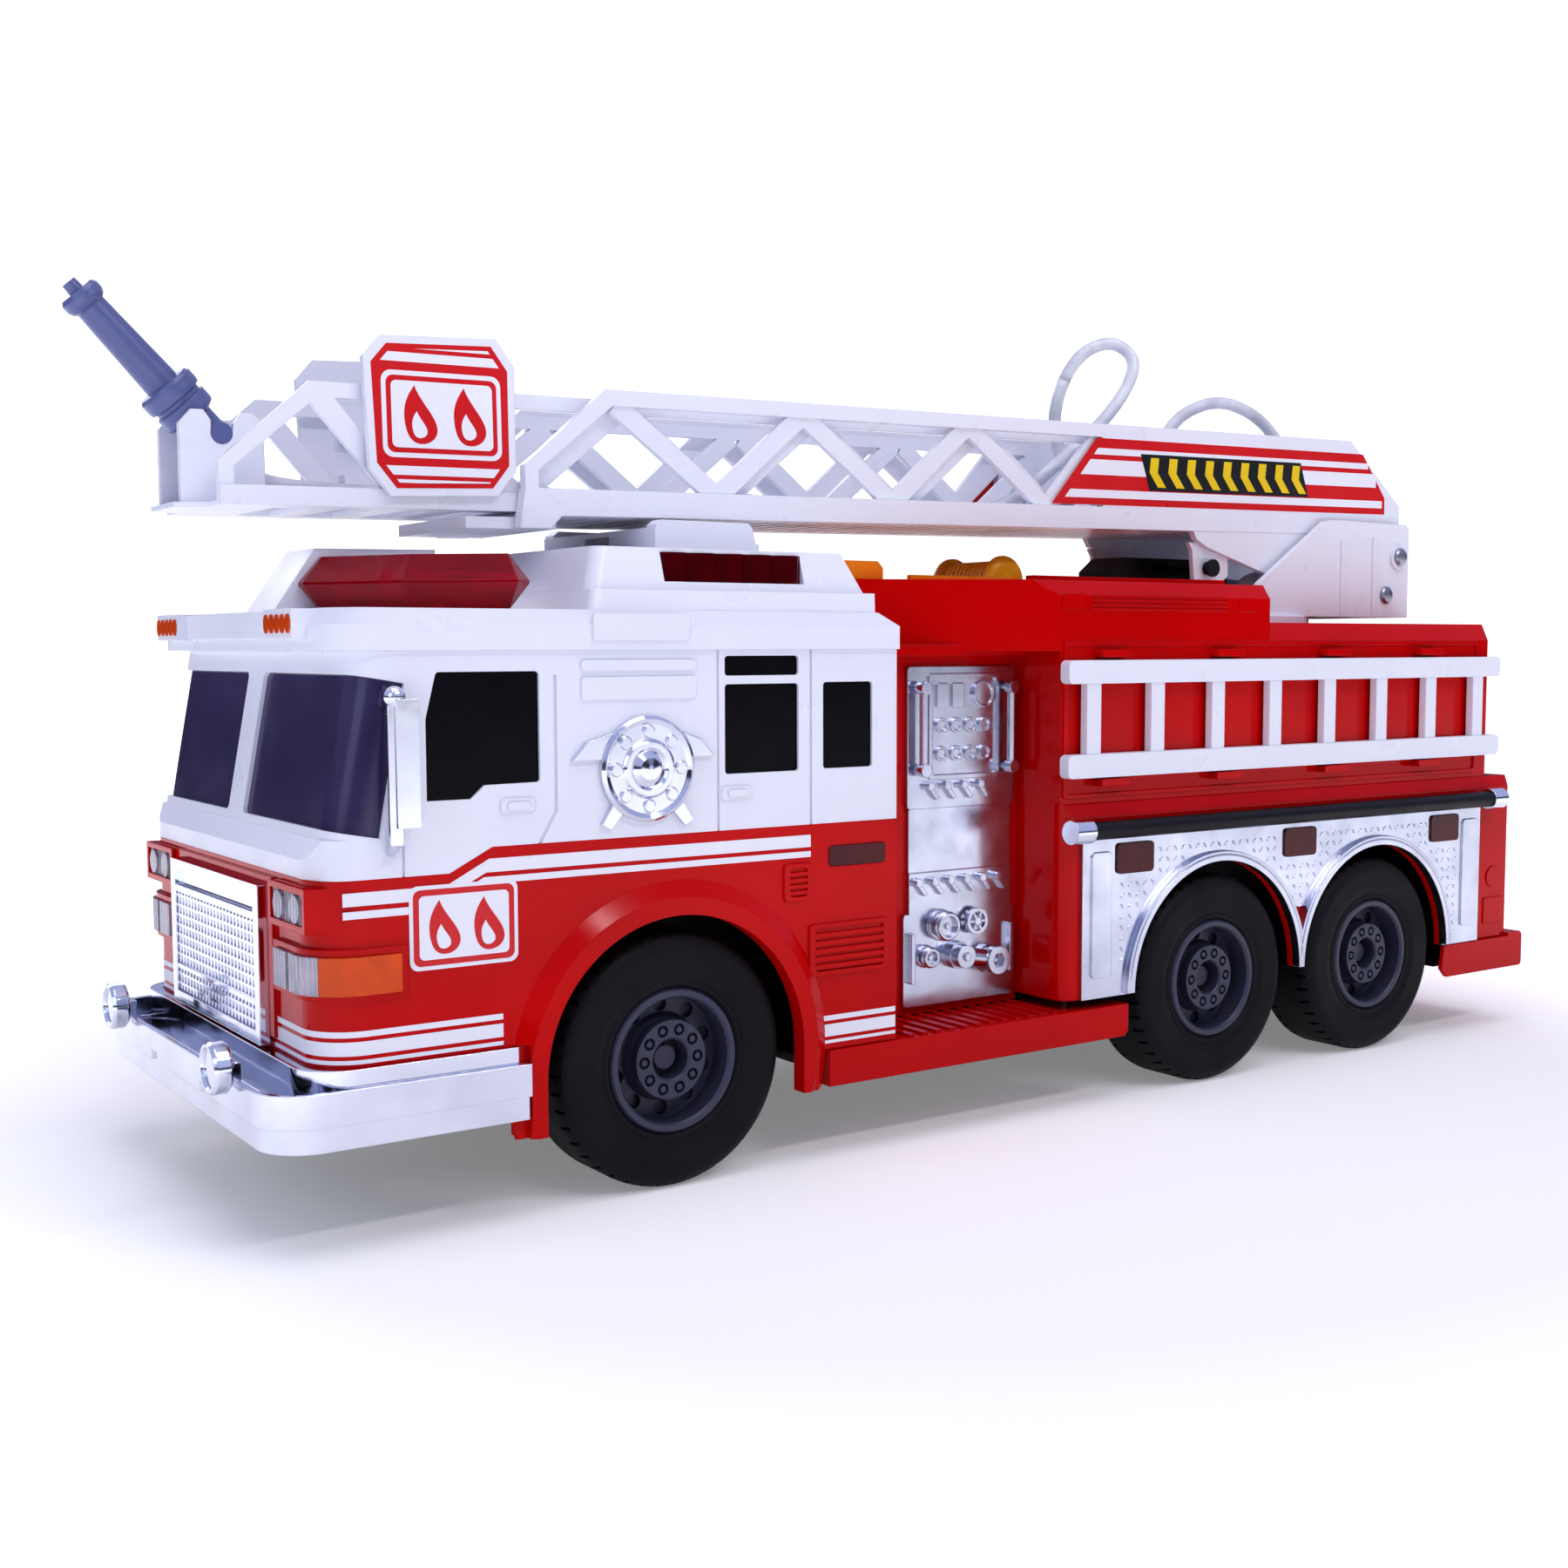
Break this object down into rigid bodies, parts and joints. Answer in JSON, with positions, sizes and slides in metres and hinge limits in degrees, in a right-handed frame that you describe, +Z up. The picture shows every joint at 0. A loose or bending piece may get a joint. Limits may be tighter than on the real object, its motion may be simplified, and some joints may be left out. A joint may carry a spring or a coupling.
{
  "type": "toy fire engine",
  "caption": "Toy ladder fire engine with three axles, a turning and lifting two-stage ladder, a tilting water nozzle with its hose, and a push-button water pump.",
  "frame": {"origin": "on the floor under the middle of the whole part, from the nozzle tip to the rear step, on the middle plane", "axes": "+X towards the front bumper, +Y to the vehicle's left side, +Z up"},
  "size_m": [0.5538, 0.1684, 0.2765],
  "materials": {
    "red_plastic": "glossy moulded plastic",
    "white_plastic": "glossy moulded plastic",
    "black_plastic": "satin moulded plastic",
    "chrome_plating": "vacuum-plated plastic",
    "dark_glazing": "dark tinted plastic",
    "clear_lens": "clear plastic",
    "amber_lens": "clear amber plastic",
    "red_lens": "clear red plastic",
    "dark_red_lens": "dark red plastic",
    "orange_plastic": "glossy moulded plastic",
    "yellow_plastic": "glossy moulded plastic",
    "blue_grey_plastic": "glossy moulded plastic",
    "hose_pvc": "clear flexible plastic",
    "tyre_plastic": "soft black plastic",
    "rim_plastic": "dark grey plastic",
    "steel": "drawn wire",
    "board": "coated board",
    "cell_wrap": "printed wrap",
    "tank_plastic": "translucent plastic"
  },
  "bodies": {
    "engine": {"chassis": "black_plastic", "cab_lower": "red_plastic", "cab_upper": "white_plastic", "cab_roof": "white_plastic", "main_body": "red_plastic", "running_boards": "red_plastic", "rear_step": "red_plastic", "windscreen": "dark_glazing", "side_windows": "dark_glazing", "grille": "chrome_plating", "front_bumper": "chrome_plating", "bumper_lamps": "chrome_plating", "mirror_left": "chrome_plating", "mirror_right": "chrome_plating", "pump_panel_left": "chrome_plating", "pump_panel_right": "chrome_plating", "fender_panel_left": "chrome_plating", "fender_panel_right": "chrome_plating", "side_badges": "chrome_plating", "handrails": "black_plastic", "handrail_brackets": "chrome_plating", "side_ladder_left": "white_plastic", "side_ladder_right": "white_plastic", "headlamp_lenses": "clear_lens", "turn_lenses": "amber_lens", "marker_lenses": "dark_red_lens", "light_bar_lenses": "red_lens", "roof_lamp_lenses": "dark_red_lens", "ladder_rest": "white_plastic", "pump_spring": "steel", "pump_cylinder": "tank_plastic", "deck_tray": "orange_plastic", "filler_cap": "orange_plastic", "water_tank": "tank_plastic", "battery_door": "black_plastic", "batteries": "cell_wrap", "circuit_board": "board", "speaker": "black_plastic", "body_screws": "steel"},
    "wheels_front": {"axle_front": "steel", "tyres_front": "tyre_plastic", "rims_front": "rim_plastic"},
    "wheels_middle": {"axle_middle": "steel", "tyres_middle": "tyre_plastic", "rims_middle": "rim_plastic"},
    "wheels_rear": {"axle_rear": "steel", "tyres_rear": "tyre_plastic", "rims_rear": "rim_plastic"},
    "turntable": {"turntable": "white_plastic", "turntable_retainer": "black_plastic", "ladder_pin": "steel"},
    "ladder": {"ladder_base": "white_plastic", "water_hose": "hose_pvc"},
    "fly": {"ladder_fly": "white_plastic", "sign_plates": "white_plastic"},
    "nozzle": {"nozzle": "blue_grey_plastic"},
    "strut_rod": {"strut_rod": "steel"},
    "strut_housing": {"strut_housing": "black_plastic"},
    "pump_button": {"pump_button": "orange_plastic"},
    "hose_reel": {"hose_reel": "yellow_plastic"}
  },
  "joints": [
    {"name": "front_axle_spin", "type": "hinge", "parent": "engine", "child": "wheels_front", "pos_m": [0.1333, 0, 0.0375], "axis": [0, 1, 0], "continuous": true},
    {"name": "middle_axle_spin", "type": "hinge", "parent": "engine", "child": "wheels_middle", "pos_m": [-0.0919, 0, 0.0375], "axis": [0, 1, 0], "continuous": true},
    {"name": "rear_axle_spin", "type": "hinge", "parent": "engine", "child": "wheels_rear", "pos_m": [-0.1802, 0, 0.0375], "axis": [0, 1, 0], "continuous": true},
    {"name": "turntable_turn", "type": "hinge", "parent": "engine", "child": "turntable", "pos_m": [-0.1717, 0, 0.165], "axis": [0, 0, 1], "range_deg": [-90, 90]},
    {"name": "ladder_lift", "type": "hinge", "parent": "turntable", "child": "ladder", "pos_m": [-0.2447, 0, 0.1934], "axis": [0, -1, 0], "range_deg": [0, 60], "deforming": ["water_hose"]},
    {"name": "fly_slide", "type": "slide", "parent": "ladder", "child": "fly", "axis": [0.9998, 0, -0.0175], "range_m": [0, 0.15], "deforming": ["water_hose"]},
    {"name": "nozzle_tilt", "type": "hinge", "parent": "fly", "child": "nozzle", "pos_m": [0.23957, 0, 0.21615], "axis": [0, -1, 0], "range_deg": [-50, 40], "deforming": ["water_hose"]},
    {"name": "strut_foot_pivot", "type": "hinge", "parent": "turntable", "child": "strut_rod", "pos_m": [-0.2371, 0, 0.1775], "axis": [0, -1, 0], "range_deg": [0, 60]},
    {"name": "strut_head_pivot", "type": "hinge", "parent": "ladder", "child": "strut_housing", "pos_m": [-0.1369, 0, 0.18662], "axis": [0, -1, 0], "range_deg": [-1, 0]},
    {"name": "pump_press", "type": "slide", "parent": "engine", "child": "pump_button", "axis": [0, 0, -1], "range_m": [0, 0.006], "stiffness_N_per_m": 400, "springref_m": -0.003, "deforming": ["pump_spring"]},
    {"name": "reel_spin", "type": "hinge", "parent": "engine", "child": "hose_reel", "pos_m": [-0.044, 0, 0.1806], "axis": [0, 1, 0], "continuous": true}
  ],
  "couplings": [
    {"joint": "strut_foot_pivot", "follows": "ladder_lift", "ratio": 1},
    {"joint": "strut_head_pivot", "follows": "ladder_lift", "ratio": -0.01}
  ]
}
